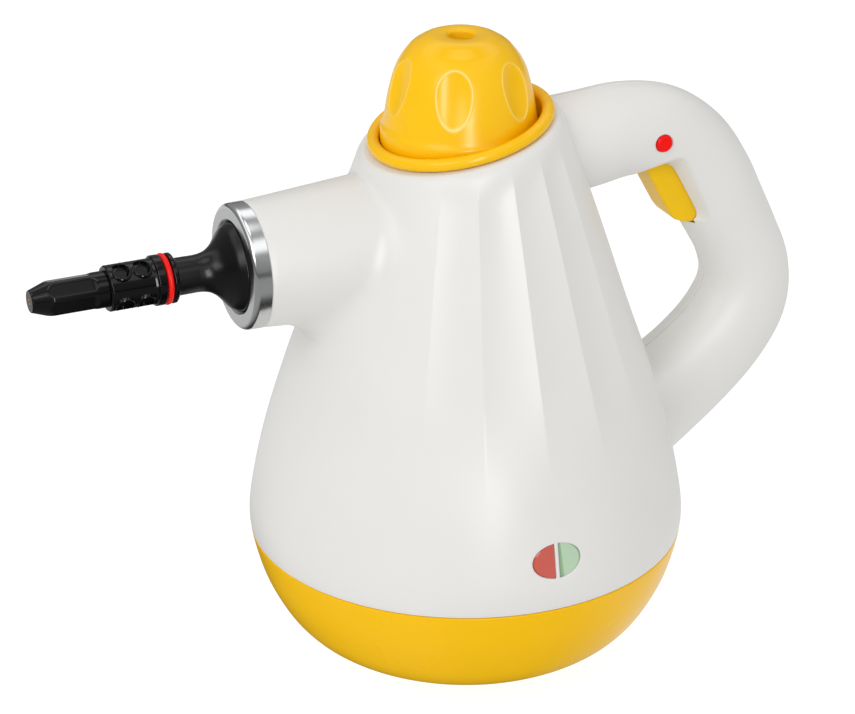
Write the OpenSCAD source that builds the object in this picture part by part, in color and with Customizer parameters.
// Hand-held pressure steamer: pear-shaped boiler housing, spout with bayonet nozzle,
// D-handle with trigger.
// Frame: origin at the centre of the foot on the body axis, +Z up, spout towards -X,
// handle towards +X.

/* [Body] */
// Largest diameter of the pear-shaped housing
body_d = 160; // [150:1:165]
// Height of the seam between the base bowl and the housing
seam_z = 48.6; // [46:0.1:50]
// Wall thickness of the moulded shells
wall = 3; // [2.4:0.1:3.2]
// Slant of the collar, rising towards the handle, in degrees
slant = 12; // [8:0.5:14]

/* [Filler cap] */
// Offset of the filler axis from the body axis
cap_x = -2.6; // [-4:0.1:0]
// Height of the centre of the slanted collar
collar_z = 203; // [202:0.1:205]
// Outer radius of the collar
collar_r = 33.5; // [33:0.1:34]
// Radius of the foot of the cap dome
dome_r = 28.3; // [27.8:0.1:28.3]
// Height of the top of the cap dome
dome_top = 236; // [234:0.5:238]

/* [Spout and nozzle] */
// Height of the spout and nozzle axis
axis_z = 163.3; // [162:0.1:165]
// X of the front face of the bright ring
ring_x = -88.9; // [-90:0.1:-88]
// Outer radius of the bright ring
ring_r = 22.2; // [21.8:0.1:22.4]
// Radius of the bayonet sleeve
sleeve_r = 8; // [7.8:0.05:8.2]
// X of the tip of the nozzle
tip_x = -161.8; // [-164:0.1:-160]

/* [Handle] */
// Half width of the handle tube
grip_half = 15.5; // [15:0.1:16]
// Wall thickness of the handle halves
handle_wall = 2.6; // [2.2:0.1:2.8]
// Width of the trigger
trigger_w = 15; // [14:0.5:15]

/* [Mains and lamps] */
// Width of the lamp window
lamp_w = 18.6; // [17:0.1:19]
// Height of the lamp window
lamp_h = 12.6; // [12:0.1:14]

/* [Hidden] */
$fn = 64;
yellow = [0.98, 0.77, 0.10];
white = [0.90, 0.89, 0.87];
black = [0.08, 0.08, 0.09];
red = [0.93, 0.08, 0.05];
steel = [0.78, 0.79, 0.80];
brass = [0.80, 0.62, 0.28];
aluminium = [0.72, 0.73, 0.75];

// ---------- curves and skins ----------
// Catmull-Rom point between rows b and c
function spline(a, b, c, d, t) = 0.5 * (2 * b + (c - a) * t
  + (2 * a - 5 * b + 4 * c - d) * t * t + (3 * b - a - 3 * c + d) * t * t * t);
// Smooth curve through rows of numbers, in equal steps a span
function curve(rows, steps) = let (last = len(rows) - 1)
  [for (i = [0 : last - 1], j = [0 : steps - (i == last - 1 ? 0 : 1)])
    spline(rows[max(i - 1, 0)], rows[i], rows[i + 1], rows[min(i + 2, last)], j / steps)];
function unit(v) = v / norm(v);
function tangent(path, i) = unit(path[min(i + 1, len(path) - 1)] - path[max(i - 1, 0)]);

// Closed skin through rings of points
module skin(rings) {
  m = len(rings[0]);
  n = len(rings);
  sides = [for (j = [0 : n - 2], i = [0 : m - 1]) each [
    [j * m + i, (j + 1) * m + i, (j + 1) * m + (i + 1) % m],
    [j * m + i, (j + 1) * m + (i + 1) % m, j * m + (i + 1) % m]]];
  polyhedron(points = [for (r = rings) each r],
    faces = concat([[for (i = [0 : m - 1]) i]],
      [[for (i = [m - 1 : -1 : 0]) (n - 1) * m + i]], sides));
}
// Round tube along a path; across is a direction the path never follows
module sweep(path, radius, across = [0, 1, 0], sides = 8)
  skin([for (i = [0 : len(path) - 1])
    let (t = tangent(path, i), u = unit(cross(across, t)), v = cross(t, u))
    [for (j = [0 : sides - 1]) let (a = j * 360 / sides)
      path[i] + radius * (cos(a) * u + sin(a) * v)]]);
// Helical spring between heights z0 and z1
module coil(radius, wire, z0, z1, turns) {
  n = round(turns * 12);
  sweep([for (i = [0 : n]) let (a = i * 360 * turns / n)
    [radius * cos(a), radius * sin(a), z0 + wire + (z1 - z0 - 2 * wire) * i / n]],
    wire, [0, 0, 1], 6);
}

// ---------- placing and turned shapes ----------
module filler(z = 0) translate([cap_x, 0, z]) children();
module around(angles, radius, z = 0) for (a = angles) rotate(a) translate([radius, 0, z]) children();
// Revolution about the nozzle axis, of points [radius, x]
module x_revolve(points)
  translate([0, 0, axis_z]) rotate([0, 90, 0]) rotate_extrude() polygon(points);
// Revolution about the filler axis, of points [radius, z]
module filler_revolve(points) filler() rotate(15) rotate_extrude() polygon(points);
module x_cylinder(x0, x1, r, z = axis_z, y = 0)
  translate([x0, y, z]) rotate([0, 90, 0]) cylinder(h = x1 - x0, r = r);
// Cylinder along Y at place [x, z]
module y_cylinder(y0, y1, r, place)
  translate([place[0], y0, place[1]]) rotate([-90, 0, 0]) cylinder(h = y1 - y0, r = r);
// Plate drawn in x, z and centred on y
module y_plate(width, y = 0)
  translate([0, y + width / 2, 0]) rotate([90, 0, 0]) linear_extrude(height = width) children();
module tube(inner, outer, z0, z1) translate([0, 0, z0]) difference() {
  cylinder(h = z1 - z0, r = outer);
  translate([0, 0, -1]) cylinder(h = z1 - z0 + 2, r = inner);
}
module hex_nut(h, r, hole) difference() {
  cylinder(h = h, r = r, $fn = 6);
  translate([0, 0, -1]) cylinder(h = h + 3, r = hole);
}

// ---------- housing ----------
// Outline of the pear: height, radius
pear = curve([[0, 37.9], [8, 56.3], [16, 66.2], [28, 73.5], [40, 77.8], [53, 80], [68, 78.1],
  [88, 73.5], [112, 66.1], [136, 57.8], [168, 47.2], [200, 36], [216, 30.6]], 4);
pear_scale = body_d / 160;
shell_top_z = collar_z - 2.4;
bowl_z = 0.5;
lip_top = 52;
neck_r = 30.2;
spout_x = -82.6;
spout_r = 22.2;
spout_root_r = 25.5;
seam_screw_angles = [30, 90, 150];
seam_screw_circle = 70;
// Posts in the bowl that carry the boiler, about the filler axis
post_angles = [60, 180, 300];
post_circle = 60.8;
foot_angles = [45, 135, 225, 315];
foot_circle = 31;
foot_r = 5;
foot_h = 2;
function pear_radius(z) = lookup(z, pear) * pear_scale;

// Solid of revolution of the pear between two heights, grown outwards
module pear_solid(z0, z1, grow = 0, step = 8) {
  n = ceil((z1 - z0) / step);
  side = [for (i = [0 : n]) let (z = z0 + (z1 - z0) * i / n) [pear_radius(z) + grow, z]];
  rotate(112) rotate_extrude() polygon(concat([[0, z0]], side, [[0, z1]]));
}
// Everything under a slanted plane through the filler axis
module under_slant(z)
  filler(z) rotate([0, -slant, 0]) translate([-150, -150, -300]) cube([300, 300, 300]);
module spout(grow, x0, x1)
  x_revolve([[0, x0], [spout_r + grow, x0], [spout_root_r + grow, x1], [0, x1]]);
// One half of the lamp window, on side 1 (+X) or -1 (-X) of the bar between the halves
module lamp_window(grow, side) {
  bar_half = 0.65;
  translate([-0.7, -90, 67.1]) rotate([-90, 0, 0]) linear_extrude(height = 40)
    polygon([for (a = [-90 : 10 : 90])
      [side * (bar_half + (lamp_w / 2 - bar_half + grow) * cos(a)),
        (lamp_h / 2 + grow) * sin(a)]]);
}
module body_shell() color(white) difference() {
  union() {
    intersection() {
      difference() {
        union() {
          pear_solid(seam_z, 212);
          spout(0, spout_x, -40);
        }
        intersection() {
          pear_solid(seam_z - 1, 214, -wall);
          under_slant(shell_top_z - 3);
        }
        spout(-wall, spout_x - 1, -41);
      }
      under_slant(shell_top_z);
    }
    around(seam_screw_angles, seam_screw_circle, lip_top + 0.05) cylinder(h = 22, r = 6.9);
  }
  filler(180) cylinder(h = 40, r = neck_r + 0.1);
  around(seam_screw_angles, seam_screw_circle, 50) cylinder(h = 22, r = 1.95);
  x_cylinder(-84, -74, 19);
  // Opening for the pull rod
  translate([36, -4, 168]) cube([14, 8, 17]);
  for (side = [1, -1]) lamp_window(0, side);
}
module base_bowl() color(yellow) difference() {
  union() {
    difference() {
      pear_solid(bowl_z, seam_z, 0, 4);
      pear_solid(bowl_z + wall, seam_z + 1, -wall, 4);
    }
    // Lip inside the housing
    tube(pear_radius(seam_z) - 5.4, pear_radius(seam_z) - wall - 0.1, 44, lip_top);
    intersection() {
      around(seam_screw_angles, seam_screw_circle, 10) cylinder(h = 41.2, r = 5.4);
      pear_solid(bowl_z, seam_z + 6, -0.8, 9);
    }
    intersection() {
      filler() around(post_angles, post_circle, 6) cylinder(h = 72, r = 5);
      union() {
        pear_solid(bowl_z, seam_z, -0.8, 9);
        translate([0, 0, 40]) cylinder(h = 60, r = 74);
      }
    }
  }
  around(seam_screw_angles, seam_screw_circle) {
    translate([0, 0, 5]) cylinder(h = 41, r = 4.1);
    translate([0, 0, 40]) cylinder(h = 20, r = 2.1);
  }
  filler() around(post_angles, post_circle, 56) cylinder(h = 30, r = 1.95);
  around(foot_angles, foot_circle, -1) cylinder(h = foot_h + 1.1, r = foot_r + 0.05);
  translate([0, 0, -1]) cylinder(h = foot_h + 1.1, r = foot_r + 0.05);
  translate([40, -inlet_w / 2 - 0.1, inlet_z - inlet_h / 2 - 0.1])
    cube([60, inlet_w + 0.2, inlet_h + 0.2]);
}
module rubber_feet() color(black) {
  around(foot_angles, foot_circle) cylinder(h = foot_h, r = foot_r);
  cylinder(h = foot_h, r = foot_r);
}
module base_screws() color(steel) around(seam_screw_angles, seam_screw_circle) difference() {
  union() {
    translate([0, 0, 43.2]) cylinder(h = 2.8, r = 3.6);
    translate([0, 0, 45]) cylinder(h = 25, r = 1.9);
  }
  for (slot = [[5.2, 0.9], [0.9, 5.2]])
    translate([-slot[0] / 2, -slot[1] / 2, 42]) cube([slot[0], slot[1], 2.2]);
}

// ---------- handle ----------
// Handle stations: centre x, centre z, half height, half width
grip = curve([
  [30, 188.5, 18.5, 16.6], [46, 190, 18, 16.4], [61, 191.4, 17.4, 16], [76, 188.6, 17.2, 15.6],
  [88, 179.6, 17.6, 15.5], [97, 167.5, 17.2, 15.5], [104, 155, 16.4, 15.5],
  [110.3, 142.5, 16, 15.5], [114.4, 129.5, 17.2, 15.6], [113, 116.5, 18.8, 15.9],
  [105.2, 104, 19.2, 16.2], [93, 92.6, 19.6, 16.6], [78, 82, 20.4, 17.2], [60, 70, 21, 17.6]], 2);
grip_line = [for (g = grip) [g[0], 0, g[1]]];
grip_scale = grip_half / 15.5;
// Places as x, z
pivot = [66, 199];
link = [66, 181];
lock = [70.5, 189.6];
grip_screws = [[54, 194], [95.5, 172], [112.5, 127], [90, 90.5]];
// Outlines as x, z: side pocket, and slot the trigger passes through
pocket_outline = [[60, 176.5], [66, 176.9], [77.2, 179.2], [90.4, 155.2], [90.4, 153.2],
  [77.5, 153.2], [66, 165]];
mouth_outline = [[60, 176], [66, 165], [77.5, 153.2], [90.5, 153.2], [95.5, 157], [84, 181],
  [72, 186], [62, 186]];

// Half section of the handle at station i, on side 1 (+Y) or -1 (-Y)
function grip_arc(i, side, angles, inset) =
  let (g = grip[i], t = tangent(grip_line, i), across = [-t[2], 0, t[0]])
  [for (a = angles) grip_line[i] + (g[2] - inset) * cos(side > 0 ? 180 - a : a) * across
    + [0, side * (g[3] * grip_scale - inset) * sin(a), 0]];
// One half of the hollow handle: a C-shaped section carried along the centre line
module half_tube(side) skin([for (i = [0 : len(grip) - 1]) concat(
  grip_arc(i, side, [0 : 15 : 180], 0),
  grip_arc(i, side, [180 : -15 : 0], handle_wall))]);
// Flared pocket over the side of the trigger, grown differently at its two ends
module side_pocket(side, y0, y1, grow0, grow1) hull() {
  y_plate(0.1, side * y0) offset(delta = grow0) polygon(pocket_outline);
  y_plate(0.1, side * y1) offset(delta = grow1) polygon(pocket_outline);
}
// Boss on one side, given by distances from the middle plane
module side_boss(side, y0, y1, r, place)
  y_cylinder(min(side * y0, side * y1), max(side * y0, side * y1), r, place);
module handle_half(side) color(white) difference() {
  union() {
    half_tube(side);
    intersection() {
      side_pocket(side, 8, 17, 2.2, 8.2);
      skin([for (i = [4 : 14]) grip_arc(i, side, [0 : 15 : 180], 0.6)]);
    }
    for (place = grip_screws) side_boss(side, 0, 14.4, 3.6, place);
    side_boss(side, 8.2, 11.7, 3.4, pivot);
    side_boss(side, 8.2, 14, side > 0 ? 3.6 : 4.6, lock);
  }
  pear_solid(lip_top, 215, 0.5, 10);
  filler(185) rotate(120) cylinder(h = 40, r = collar_r + 0.15);
  y_plate(16) polygon(mouth_outline);
  side_pocket(side, 7.9, 17, 0, 6);
  y_cylinder(-11.2, 11.2, 2.02, pivot);
  if (side < 0) y_cylinder(-20, -5, 3.25, lock);
  else y_cylinder(5, 13.4, 2.1, lock);
  for (place = grip_screws)
    if (side < 0) y_cylinder(-9.6, 1, 1.45, place);
    else {
      y_cylinder(-1, 20, 1.6, place);
      y_cylinder(8, 24, 3, place);
    }
}
module handle_left() handle_half(-1);
module handle_right() handle_half(1);
module handle_screws() color(steel) for (place = grip_screws) difference() {
  union() {
    y_cylinder(-9.4, 9, 1.4, place);
    y_cylinder(8, 10.4, 2.7, place);
  }
  for (slot = [[4, 0.7], [0.7, 4]])
    translate([place[0] - slot[0] / 2, 9.4, place[1] - slot[1] / 2]) cube([slot[0], 3, slot[1]]);
}

// ---------- trigger and lock ----------
// Outlines as x, z
trigger_outline = [[62.2, 187.4], [67.7, 177.5], [78.3, 158.4], [79.6, 156.7], [81.6, 155.2],
  [84.4, 154.2], [87, 153.9], [89, 154.5], [90.4, 156.4], [90, 158.6], [79.6, 178.4], [76, 190],
  [70.5, 200.5], [68, 202.6], [64.5, 202.4], [62.4, 200]];
trigger_hollow = [[50, 205], [50, 176], [71.4, 176], [83, 157.5], [95, 157.5], [95, 205]];
valve_z = 171;
rod_r = 1.5;
module trigger() color(yellow) difference() {
  y_plate(trigger_w) polygon(trigger_outline);
  y_plate(6) polygon(trigger_hollow);
  y_cylinder(-20, 20, 2.05, pivot);
  y_cylinder(-20, 20, 3.6, lock);
  translate([link[0] - 1.55, -20, link[1] - 2.6]) cube([3.1, 40, 5.2]);
}
module trigger_pin() color(steel) y_cylinder(-11, 11, 2, pivot);
module pull_rod() color(steel) difference() {
  union() {
    x_cylinder(39, 42.4, 3, valve_z);
    sweep(curve([[40.8, 0, 173.2], [43.8, 0, 178], [50, 0, 181], [58, 0, 181.2], [67, 0, 181]], 4),
      rod_r, [0, 1, 0], 12);
    y_cylinder(-6.6, 6.6, rod_r, link);
  }
  x_cylinder(38, 44, rod_r + 0.02, valve_z);
}
// Profile as radius, y
module lock_button() color(red)
  translate([lock[0], 0, lock[1]]) rotate([-90, 0, 0]) rotate_extrude() polygon([[0, -16.5],
    [2.6, -16.5], [3.15, -16], [3.15, -10.7], [2, -10.7], [2, 10], [0, 10]]);

// ---------- collar and safety cap ----------
module collar_ring() color(yellow) difference() {
  bead_r = 2.2;
  union() {
    intersection() {
      filler(collar_z) rotate([0, -slant, 0]) rotate_extrude() union() {
        translate([collar_r - bead_r, 0]) circle(r = bead_r);
        translate([collar_r - 2 * bead_r, -2.25]) square([4.2, 2.25]);
      }
      filler(180) cylinder(h = 40, r = collar_r + 5);
    }
    filler_revolve([[0, 184], [neck_r, 184], [neck_r, 190], [0, 190]]);
    intersection() {
      filler_revolve([[0, 189], [neck_r, 189], [neck_r, 215], [0, 215]]);
      under_slant(collar_z);
    }
  }
  filler(186) cylinder(h = 40, r = 28.6);
  filler(180) cylinder(h = 40, r = 16.1);
}
// Outline of the dome: radius, height, for a dome top at dome_ref_top
dome = curve([[28.3, 203.2], [27.4, 204.8], [26.7, 207.5], [25.3, 215.5], [22.6, 224.6],
  [18, 231.6], [13.6, 234.8]], 3);
dome_ref_top = 236;
dome_foot_z = 203;
cap_angles = [0 : 60 : 300];
between_angles = [30 : 60 : 330];
function stretched(z) = z
  + (dome_top - dome_ref_top) * max(0, z - dome_foot_z) / (dome_ref_top - dome_foot_z);
// Ratchet-like lugs: short pieces of a ring about the filler axis
module lugs(angles, z0, z1) filler() for (a = angles) rotate(a) intersection() {
  tube(16.9, 18.7, z0, z1);
  translate([10, -3, z0 - 1]) cube([10, 6, 12]);
}
// Barrel that cuts one finger scallop
module scallop_cutter() {
  arc_r = 67;
  half = 16;
  rotate_extrude() polygon(concat([[0, -half]],
    [for (h = [-half : 4 : half]) [sqrt(arc_r * arc_r - h * h) - 50, h]], [[0, half]]));
}
module cap_dome() color(yellow) difference() {
  union() {
    difference() {
      filler_revolve(concat([[0, 191], [dome_r, 191]],
        [for (p = dome) [min(p[0], dome_r), stretched(p[1])]],
        [[10.4, dome_top - 0.15], [9.8, dome_top], [0, dome_top]]));
      filler_revolve(concat([[0, 190], [dome_r - 3.5, 190]],
        [for (p = dome) [p[0] - 3.7, p[1] - 1.6]], [[0, dome_top - 3.4]]));
    }
    // Central sleeve with its flange
    filler_revolve([[8.1, 204], [12, 204], [12, 206], [19, 206], [19, 208.4], [12, 208.4],
      [12, 234.2], [4, 234.2], [4, 226], [10, 226], [10, 214], [8.1, 214]]);
    filler() around(between_angles, 11.2, 207) translate([0, -1, 0]) cube([13.8, 2, 8]);
    lugs(between_angles, 198.4, 207.2);
  }
  filler(220) cylinder(h = 30, r = 4.6);
  filler() around(cap_angles, 38.4, 224.3) rotate([0, -19, 0]) rotate(50) scallop_cutter();
}
module cap_plug() color(black) difference() {
  union() {
    filler(173) cylinder(h = 18, r = 13.1);
    filler(190.6) cylinder(h = 2.4, r = 19);
    filler(192) cylinder(h = 30, r = 8);
    lugs(cap_angles, 192, 196.6);
  }
  filler(170) cylinder(h = 20, r = 3);
  filler(180) cylinder(h = 50, r = 5.2);
  // Circlip groove
  filler() tube(7.3, 9, 214.1, 215.5);
}
module cap_seal() color([0.15, 0.15, 0.16]) filler() tube(13.2, 15.9, 189, 190.6);
module cap_spring() color(steel) filler() coil(14.4, 0.7, 193.05, 205.9, 4);
module cap_circlip() color(steel) filler() difference() {
  tube(7.35, 9.6, 214.2, 215.4);
  translate([0, -2, 210]) cube([12, 4, 10]);
}
module relief_pin() color(brass) filler_revolve([[0, 180], [4.6, 180], [5, 180.6], [5, 183],
  [2, 184], [2, 225.5], [1.5, 226], [0, 226]]);
module relief_spring() color(steel) filler() coil(4, 0.45, 184.1, 211.9, 8);
module relief_adjuster() color(brass) filler() difference() {
  translate([0, 0, 212]) cylinder(h = 8, r = 5.15);
  translate([0, 0, 210]) cylinder(h = 12, r = 2.1);
  translate([-6, -0.6, 218.6]) cube([12, 1.2, 3]);
}

// ---------- boiler ----------
boiler_r = 48;
bore_r = 45;
flange_r = 56;
flange_h = 4;
// Faces of the two flanges, with the gasket between them
lower_face_z = 82;
upper_face_z = 84;
bolt_count = 8;
bolt_circle = 52;
bolt_hole_r = 2.1;
bolt_angles = [for (i = [0 : bolt_count - 1]) (i + 0.5) * 360 / bolt_count];
element_r = 30;
stud_r = 3;
module bolt_places(z) filler() around(bolt_angles, bolt_circle, z) children();
module boiler_upper() color(aluminium) difference() {
  flange_top = upper_face_z + flange_h;
  filler_revolve([[0, upper_face_z], [flange_r, upper_face_z], [flange_r, flange_top],
    [boiler_r, flange_top], [boiler_r, 128], [44, 136], [30, 143], [16, 149], [16, 189], [0, 189]]);
  filler_revolve([[0, upper_face_z - 1], [bore_r, upper_face_z - 1], [bore_r, 127], [41.5, 133.6],
    [28.5, 140], [13.2, 147], [13.2, 190], [0, 190]]);
  bolt_places(80) cylinder(h = 12, r = bolt_hole_r);
  x_cylinder(5, 20, 3.05, valve_z);
}
module boiler_lower() color(aluminium) difference() {
  flange_z = lower_face_z - flange_h;
  union() {
    filler_revolve([[0, 30], [46, 30], [boiler_r, 32], [boiler_r, flange_z], [flange_r, flange_z],
      [flange_r, lower_face_z], [0, lower_face_z]]);
    // Ears that rest on the posts
    filler() around(post_angles, post_circle, flange_z) {
      translate([50 - post_circle, -6, 0]) cube([10.8, 12, flange_h]);
      cylinder(h = flange_h, r = 6);
    }
    filler(15) cylinder(h = 16, r = stud_r);
    for (y = [44, -50]) translate([cap_x - 9, y, 41]) cube([18, 6, 18]);
  }
  filler_revolve([[0, 33], [43.5, 33], [bore_r, 34.5], [bore_r, 83], [0, 83]]);
  bolt_places(70) cylinder(h = 20, r = bolt_hole_r);
  filler() around(post_angles, post_circle, 70) cylinder(h = 20, r = bolt_hole_r);
}
module boiler_gasket() color([0.6, 0.25, 0.2]) difference() {
  filler() tube(45.2, 55.6, lower_face_z + 0.01, upper_face_z - 0.01);
  bolt_places(80) cylinder(h = 12, r = 2.15);
}
module boiler_bolts() color(steel) {
  bolt_places(72) cylinder(h = 17, r = 2);
  bolt_places(88) cylinder(h = 2.8, r = 3.4, $fn = 6);
}
module boiler_nuts() color(steel) bolt_places(74.9) hex_nut(3.1, 3.4, 2.03);
module boiler_screws() color(steel) filler() around(post_angles, post_circle) {
  translate([0, 0, 60]) cylinder(h = 23, r = 1.9);
  translate([0, 0, 82]) cylinder(h = 2.4, r = 3.6);
}
module heating_element() color([0.35, 0.35, 0.37]) filler() {
  translate([0, 0, 26]) rotate(30) rotate_extrude(angle = 300)
    translate([element_r, 0]) circle(r = 3.9);
  around([33, -33], element_r, 12) cylinder(h = 14, r = 2);
}
module element_clamp() color(steel) filler() difference() {
  translate([0, 0, 20.8]) cylinder(h = 1.25, r = 36);
  translate([0, 0, 19]) cylinder(h = 5, r = stud_r + 0.05);
  translate([10, -30, 19]) cube([40, 60, 5]);
}
module clamp_nut() color(steel) filler(17) hex_nut(3.8, 6, stud_r + 0.03);
module thermostat() color([0.55, 0.40, 0.28]) {
  y_cylinder(50, 56, 8, [cap_x, 50]);
  for (z = [55, 44]) translate([cap_x - 1.5, 55, z]) cube([3, 6, 1]);
}
module thermal_fuse() color([0.85, 0.85, 0.82]) {
  translate([cap_x, -52.6, 42]) cylinder(h = 16, r = 2.5);
  translate([cap_x, -52.6, 38]) cylinder(h = 24, r = 0.7);
}

// ---------- steam valve and pipe ----------
outlet_x = 29;
pipe_path = [[outlet_x, 0, 167], [outlet_x, 0, 164], [outlet_x, 0, 160.5], [28.6, 1.4, 157],
  [26, 7, 153.6], [16, 20, 152], [-2, 25, 152.4], [-26, 19, 156], [-44, 6, 161.4],
  [-52, 1.6, 163.1], [-57, 0.12, 163.3], [-61, 0, 163.3], [-65, 0, 163.3], [-70, 0, 163.3]];
module valve_body() color(brass) difference() {
  union() {
    x_cylinder(17, 36, 6.5, valve_z);
    x_cylinder(11.5, 18, 3, valve_z);
    translate([outlet_x, 0, 161]) cylinder(h = 8, r = 3.4);
  }
  x_cylinder(10, 25, 2, valve_z);
  x_cylinder(23.5, 40, 5.05, valve_z);
  translate([outlet_x, 0, 158]) cylinder(h = 10, r = 2.05);
}
module valve_cap() color(brass) difference() {
  union() {
    x_cylinder(32, 37, 5, valve_z);
    x_cylinder(36, 38.4, 6.4, valve_z, $fn = 6);
  }
  x_cylinder(30, 40, rod_r + 0.06, valve_z);
}
module valve_stem() color(steel) union() {
  x_cylinder(25, 42.4, rod_r, valve_z);
  x_cylinder(25, 26.5, 4, valve_z);
}
module valve_seal() color(black) x_cylinder(23.52, 25, 4, valve_z);
module valve_spring() color(steel)
  translate([26.5, 0, valve_z]) rotate([0, 90, 0]) coil(3.4, 0.4, 0.02, 5.4, 3.5);
module steam_pipe() color([0.80, 0.48, 0.30]) sweep(curve(pipe_path, 4), 1.9, [0.15, 0.1, 1], 10);
module steam_fitting() color(brass) x_revolve([[1.95, -83.5], [3.2, -83.5], [3.2, -76.5],
  [5.2, -76.5], [5.2, -71], [3.4, -69], [3.4, -62], [1.95, -62]]);

// ---------- nozzle ----------
// Flare of the bell: radius, x
bell = curve([[6.6, -103], [6.9, -101], [8.2, -98.2], [10.6, -95], [13.2, -91.9],
  [15.5, -88.6]], 3);
bell_x = -110.9;
bell_bore = 2.11;
barrel_x = -135;
stub_r = 3;
module chrome_ring() color(steel) x_revolve([[15.8, ring_x + 0.5], [16.3, ring_x],
  [ring_r - 1.3, ring_x], [ring_r - 0.3, ring_x + 0.7], [ring_r, ring_x + 1.8],
  [ring_r + 0.2, spout_x], [18.9, spout_x], [18.9, -77], [15.8, -77]]);
module nozzle_bell() color(black) x_revolve(concat([[bell_bore, bell_x], [6.6, bell_x]], bell,
  [[15.6, -87.6], [15.6, -84], [9, -84], [9, -79], [3.3, -79], [3.3, -84], [bell_bore, -84]]));
module nozzle_coupling() color(black) difference() {
  x_revolve([[stub_r + 0.05, barrel_x], [sleeve_r - 0.5, barrel_x], [sleeve_r, barrel_x + 0.5],
    [sleeve_r, -118.6], [8.8, -118.1], [8.8, -115.4], [7.5, -115.4], [7.5, -112.6],
    [8.8, -112.6], [8.8, -111.3], [8.4, bell_x], [stub_r + 0.05, bell_x]]);
  // Round dimples on two opposite sides
  for (a = [-52, 128], x = [-130.2, -122.8])
    translate([x, 0, axis_z]) rotate([a, 0, 0]) translate([0, 0, 6.1]) cylinder(h = 4, r = 2.7);
}
module nozzle_o_ring() color(red) x_revolve([[7.5, -115.3], [8.6, -115.3], [9.1, -114.6],
  [9.1, -113.4], [8.6, -112.7], [7.5, -112.7]]);
module nozzle_barrel() color(black) difference() {
  union() {
    intersection() {
      x_revolve([[0, tip_x], [4.1, tip_x], [4.5, tip_x + 0.5], [6.9, -153.4], [6.9, barrel_x],
        [0, barrel_x]]);
      translate([tip_x - 1, 0, axis_z]) rotate([0, 90, 0]) rotate(12)
        cylinder(h = 40, r = 6.75, $fn = 6);
    }
    x_cylinder(-135.5, -122, stub_r);
  }
  x_cylinder(-166, -100, 1.2);
  x_cylinder(-166, -157, 1.75);
}
module nozzle_jet() color(brass)
  x_revolve([[0.6, tip_x], [1.4, tip_x], [1.72, tip_x + 0.3], [1.72, -157], [0.6, -157]]);

// ---------- lamps ----------
lamp_places = [[-5.9, 67.7], [3.7, 67.7]]; // x, z
module lens(side) intersection() {
  difference() {
    pear_solid(55, 80, -0.15, 4);
    pear_solid(54, 81, -wall, 4);
  }
  lamp_window(-0.06, side);
}
module lamp_lens_red() color([0.85, 0.35, 0.32]) lens(-1);
module lamp_lens_green() color([0.70, 0.85, 0.68]) lens(1);
module lamp_holder() color([0.92, 0.92, 0.90]) difference() {
  intersection() {
    translate([-15, -80, 58]) cube([28, 13, 19.5]);
    pear_solid(50, 85, -wall - 0.1, 4);
  }
  for (place = lamp_places) y_cylinder(-90, -50, 3.6, place);
}
module indicator_lamps() color([1, 0.6, 0.4])
  for (place = lamp_places) y_cylinder(-73.6, -65, 3.5, place);

// ---------- mains ----------
inlet_z = 29;
inlet_w = 26;
inlet_h = 18;
pin_r = 1.5;
pin_y = 5;
module mains_inlet() color(black) difference() {
  intersection() {
    translate([50, -inlet_w / 2, inlet_z - inlet_h / 2]) cube([40, inlet_w, inlet_h]);
    pear_solid(10, 45, -0.4, 4);
  }
  // Socket: two round ends and the slab between them
  for (y = [-pin_y, pin_y]) x_cylinder(53, 90, 4.6, inlet_z, y);
  translate([53, -pin_y, inlet_z - 4.6]) cube([40, 2 * pin_y, 9.2]);
  for (y = [-pin_y, pin_y]) x_cylinder(40, 60, pin_r + 0.02, inlet_z, y);
}
module inlet_pins() color(brass)
  for (y = [-pin_y, pin_y]) x_cylinder(46, 62, pin_r, inlet_z, y);
module wire(path, across = [0, 0, 1]) sweep(curve(path, 4), 1.1, across);
module wiring() {
  color([0.15, 0.35, 0.75]) wire([[44.9, 5, 29], [44.2, 5, 29], [40, 6, 24], [33, 11, 12],
    [26, 15.4, 7], [22.6, 16.4, 8.4], [22.6, 16.4, 11.8]], [0.3, 0.9, 0]);
  color([0.45, 0.28, 0.15]) wire([[44.9, -5, 29], [44.2, -5, 29], [42.5, -14, 27], [39, -30, 28],
    [23.4, -45.2, 32], [8, -53.6, 35.4], [2, -53, 36.4], [cap_x, -52.6, 36.6]]);
  color([0.75, 0.75, 0.2]) wire([[46, 18, 40], [40, 32, 41], [23.6, 45.4, 43], [12, 54, 44],
    [5, 61, 44.4], [cap_x, 62.4, 44.5]]);
}

body_shell();
base_bowl();
rubber_feet();
base_screws();
handle_left();
handle_right();
handle_screws();
collar_ring();
cap_dome();
cap_plug();
cap_seal();
cap_spring();
cap_circlip();
relief_pin();
relief_spring();
relief_adjuster();
boiler_upper();
boiler_lower();
boiler_gasket();
boiler_bolts();
boiler_nuts();
boiler_screws();
heating_element();
element_clamp();
clamp_nut();
thermostat();
thermal_fuse();
valve_body();
valve_cap();
valve_stem();
valve_seal();
valve_spring();
steam_pipe();
steam_fitting();
chrome_ring();
nozzle_bell();
nozzle_coupling();
nozzle_o_ring();
nozzle_barrel();
nozzle_jet();
trigger();
trigger_pin();
pull_rod();
lock_button();
lamp_lens_red();
lamp_lens_green();
lamp_holder();
indicator_lamps();
mains_inlet();
inlet_pins();
wiring();
